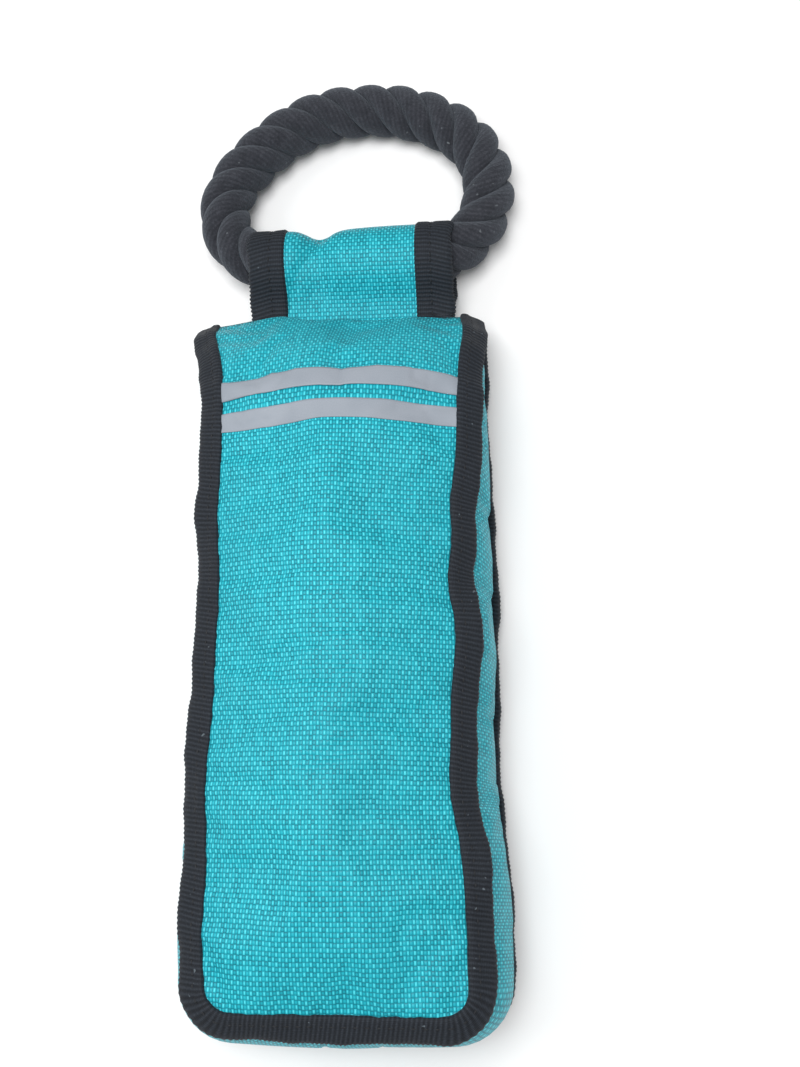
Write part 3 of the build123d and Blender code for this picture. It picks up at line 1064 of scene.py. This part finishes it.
def tab_binding_piece(name, side, seed):
    """Ribbed tape folded over one long edge of the strap."""
    count = 330
    across = 22
    rounded = (0.97, 0.85, 0.6, 0.2)
    x_top = tab_inner + tab_tape_width * np.linspace(0, 1, across) ** 0.85
    lift_top = (cloth / 2 + tab_tape) * np.ones(across)
    lift_top[-len(rounded):] *= rounded
    lift_top[0] = cloth / 2
    x_all = np.concatenate([x_top, x_top[::-1]])
    lift_all = np.concatenate([lift_top, -lift_top[::-1]])
    x_world = side * x_all
    y0, z0, d, angle = tab_path(x_world, count, 0.0)
    valley = 0.35 * mm * np.exp(-(((x_all - tab_valley_at) / (0.9 * mm)) ** 2))[:, None]
    arch = np.where(x_all > tab_valley_at, (x_all - tab_valley_at) * 0.25, 0)[:, None]
    wave = np.cos(2 * pi * (d + arch) / rib_pitch)
    sign = np.sign(lift_all)[:, None]
    lift = lift_all[:, None] + sign * (tab_rib * wave - valley)
    edge = np.clip((x_all - tab_inner) / tab_tape_width, 0, 1)[:, None] ** 6
    sway = wander(d[0], seed, (34, 19, 11), (0.35, 0.25, 0.2)) * mm
    scallop = (wave * tab_scallop + sway) * edge
    y = y0 + np.cos(angle) * lift
    z = z0 + np.sin(angle) * lift
    x = np.repeat(x_world[:, None], count, axis=1) + side * scallop
    points = np.stack([x, y, z], axis=-1).transpose(1, 0, 2)
    columns = len(x_all)
    faces = tube_faces(count, columns)
    u = np.repeat(np.arange(columns)[None] * 0.6 * mm, count, axis=0)
    uv = np.stack([u, (d + arch).T], axis=-1).reshape(-1, 2)
    if side > 0:
        faces = turned_over(faces)
    return make_mesh(name, points.reshape(-1, 3), faces, corners_of(faces, uv), tape_look)


def tab_stitches_piece(name, side):
    """Stitches in the valley of one tab binding, on both faces of the strap."""
    x = side * tab_valley_at
    count = 60
    y, z, d, angle = tab_path(np.array([x]), count, cloth / 2 + tab_tape - 0.3 * mm)
    pick = np.arange(2, count - 2)
    pick = pick[np.diff(np.floor(d[0] / stitch_pitch), prepend=0)[pick] > 0]
    centres = np.stack([np.full(count, x), y[0], z[0]], axis=-1)
    ups = np.stack([np.zeros(count), np.cos(angle[0]), np.sin(angle[0])], axis=-1)
    directions = unit(np.gradient(centres, axis=0))
    return stitches_piece(name, centres[pick], directions[pick], ups[pick])


def top_stitches_piece():
    """The seam through the strap's sewn-in ends, where they leave the body."""
    x = np.arange(-tab_half + 2 * mm, tab_half, stitch_pitch)
    y = body_top + 2.4 * mm
    centres = []
    ups = []
    for face in (-1, 1):
        z = tab_root[1] + face * (strap_gap + cloth / 2)
        centres.extend((place, y, z) for place in x)
        ups.extend([(0, 0, face)] * len(x))
    directions = np.tile([1.0, 0, 0], (len(centres), 1))
    return stitches_piece("seam_thread_top", np.array(centres), directions, np.array(ups, float))


# ---- rope ring

ring_tilt = radians(3.1)
lay_count = 23 / 3
strand_radius = 5.0 * mm
strand_offset = 5.15 * mm
strands = 3
squeeze_share = 0.34
squeeze_reach = 17 * mm
squeeze_end_y = 115 * mm
wrap_half = 12 * mm
wrap_radius = 6.9 * mm
wrap_turn = 5 * mm

# Centreline of the ring in its own plane, as (across, away from the strap) in millimetres
ring_route = (
    (0, 0), (20, 0), (33, 1), (42, 5.5), (49, 14), (52.2, 25), (51, 38),
    (44.5, 49.5), (32.5, 58.2), (17, 63.3), (-0.5, 64.3), (-16, 61.6), (-28.6, 54.8),
    (-40, 44.8), (-48.2, 33.8), (-51, 22.8), (-48.8, 12.6), (-42, 5), (-33, 1), (-20, 0),
)


def ring_centreline(count):
    """Evenly spaced points and tangents round the rope's closed centreline."""
    data = bpy.data.curves.new("route", "CURVE")
    data.dimensions = "3D"
    data.resolution_u = 24
    spline = data.splines.new("NURBS")
    spline.points.add(len(ring_route) - 1)
    for target, (u, v) in zip(spline.points, ring_route):
        y = rope_axis[0] + v * mm * cos(ring_tilt)
        z = rope_axis[1] - v * mm * sin(ring_tilt)
        target.co = (u * mm, y, z, 1)
    spline.use_cyclic_u = True
    spline.order_u = 3
    curve = bpy.data.objects.new("route", data)
    bpy.context.scene.collection.objects.link(curve)
    graph = bpy.context.evaluated_depsgraph_get()
    mesh = bpy.data.meshes.new_from_object(curve.evaluated_get(graph))
    points = np.array([vertex.co for vertex in mesh.vertices])
    bpy.data.objects.remove(curve)
    beyond = np.maximum(0, points[:, 1] - rope_axis[0])
    first = int(np.argmin(np.abs(points[:, 0]) + beyond * 10))
    points = np.roll(points, -first, axis=0)
    closed = np.concatenate([points, points[:1]])
    step = np.linalg.norm(np.diff(closed, axis=0), axis=1)
    way = np.concatenate([[0], np.cumsum(step)])
    distance = np.linspace(0, way[-1], count, endpoint=False)
    even = np.stack([np.interp(distance, way, closed[:, k]) for k in range(3)], axis=-1)
    tangent = unit(np.roll(even, -1, axis=0) - np.roll(even, 1, axis=0))
    return even, tangent, distance, way[-1]


def rope_piece():
    """Three cotton strands laid round the closed centreline."""
    count = 780
    sides = 22
    even, tangent, distance, length = ring_centreline(count)
    flat_normal = np.array([0, sin(ring_tilt), cos(ring_tilt)])
    beside = np.cross(flat_normal, tangent)
    inside = np.exp(-((even[:, 0] / squeeze_reach) ** 6)) * (even[:, 1] < squeeze_end_y)
    squeeze = 1 - squeeze_share * inside
    points = []
    uv = []
    faces = []
    turn = np.linspace(0, 2 * pi, sides, endpoint=False)
    for strand in range(strands):
        phase = 2 * pi * (lay_count * distance / length + strand / strands)
        loose = 1 + wander(distance, 40 + strand, (71, 43, 29), (0.02, 0.025, 0.02))
        radial = beside * np.cos(phase)[:, None] + flat_normal * np.sin(phase)[:, None]
        centre = even + radial * (strand_offset * squeeze * loose)[:, None]
        forward = unit(np.gradient(centre, axis=0))
        out = unit(radial - forward * np.sum(radial * forward, axis=1, keepdims=True))
        side_way = np.cross(forward, out)
        first = len(points)
        for index in range(count):
            size = strand_radius * squeeze[index]
            for angle in turn:
                grow = 1 + 0.05 * cos(2 * angle)
                points.append(
                    centre[index]
                    + out[index] * cos(angle) * size * (2 - grow)
                    + side_way[index] * sin(angle) * size * grow
                )
                uv.append((angle * strand_radius, distance[index]))
        faces.extend(tube_faces(count, sides, first))
    corners = corners_of(faces, uv, sides, 2 * pi * strand_radius)
    return make_mesh("cotton_rope", points, faces, corners, rope_look)


def wrap_piece():
    """Tape wound round the rope where its two ends meet, inside the strap."""
    sides = 40
    rows = 41
    x = np.linspace(-wrap_half, wrap_half, rows)
    turn = np.linspace(0, 2 * pi, sides, endpoint=False)
    radius = wrap_radius + 0.25 * mm * np.abs(np.sin(pi * x / wrap_turn))
    points = [
        (x[row], rope_axis[0] + radius[row] * cos(angle), rope_axis[1] + radius[row] * sin(angle))
        for row in range(rows) for angle in turn
    ]
    faces = turned_over(tube_faces(rows, sides))
    return make_mesh("joint_wrap_tape", points, faces, material=wrap_look)


# ---- making the pieces


def settle(piece, slot, *nodes):
    """Hides the CAD nodes that the piece stands for and returns the piece; the slot argument is not
    used.
    """
    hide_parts(*nodes)
    return piece


add_camera()
bpy.context.scene.view_settings.view_transform = "Standard"
add_sky(0.4)
add_light("overhead", (0.0, 0.02, 0.95), 0.5, 7.2)
add_light("left", (-0.9, 0.1, 0.8), 0.6, 3.0)

floor_half = 4
floor_corners = [(x * floor_half, y * floor_half, 0) for x, y in ((-1, -1), (1, -1), (1, 1), (-1, 1))]
floor = make_mesh("floor", floor_corners, [(0, 1, 2, 3)], material=floor_material())

for piece, slot, node in (
    (panel_piece("front_skin", 0, front, False), "cloth", "front_panel"),
    (panel_piece("back_skin", panel_size, back, True), "cloth", "back_panel"),
    (gusset_piece(), "cloth", "gusset"),
    (filling_piece(), "fibre", "filling"),
):
    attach(settle(piece, slot, node), "body")

strip_s = front_seam.length - strips_from_top
for name, way in (("upper", 1), ("lower", -1)):
    strip = strip_piece(f"film_strip_{name}", strip_s + way * (strip_width + strip_gap) / 2)
    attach(settle(strip, "reflective", f"reflective_strip_{name}"), "body")

for name, panel, side, seed in (("front", front, 1, 5), ("back", back, -1, 9)):
    tape_piece = binding_piece(f"edge_tape_{name}", panel, side, seed)
    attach(settle(tape_piece, "tape", f"{name}_binding"), "body")
    sewn = binding_stitches(f"edge_thread_{name}", panel, side, seed)
    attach(settle(sewn, "thread", f"{name}_binding_stitches"), "body")

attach(settle(top_stitches_piece(), "thread", "top_seam_stitches"), "body")

web = settle(web_piece(), "cloth", "tab_web", "tab_root")
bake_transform(web)
for name, side, seed in (("left", -1, 31), ("right", 1, 37)):
    edge_tape = tab_binding_piece(f"strap_tape_{name}", side, seed)
    settle(edge_tape, "tape", f"tab_binding_{name}")
    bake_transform(edge_tape)
    sewn = tab_stitches_piece(f"strap_thread_{name}", side)
    settle(sewn, "thread", f"tab_stitches_{name}")
    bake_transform(sewn)

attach(settle(rope_piece(), "rope", "rope_ring"), "ring")
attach(settle(wrap_piece(), "wrap", "rope_joint_wrap"), "ring")
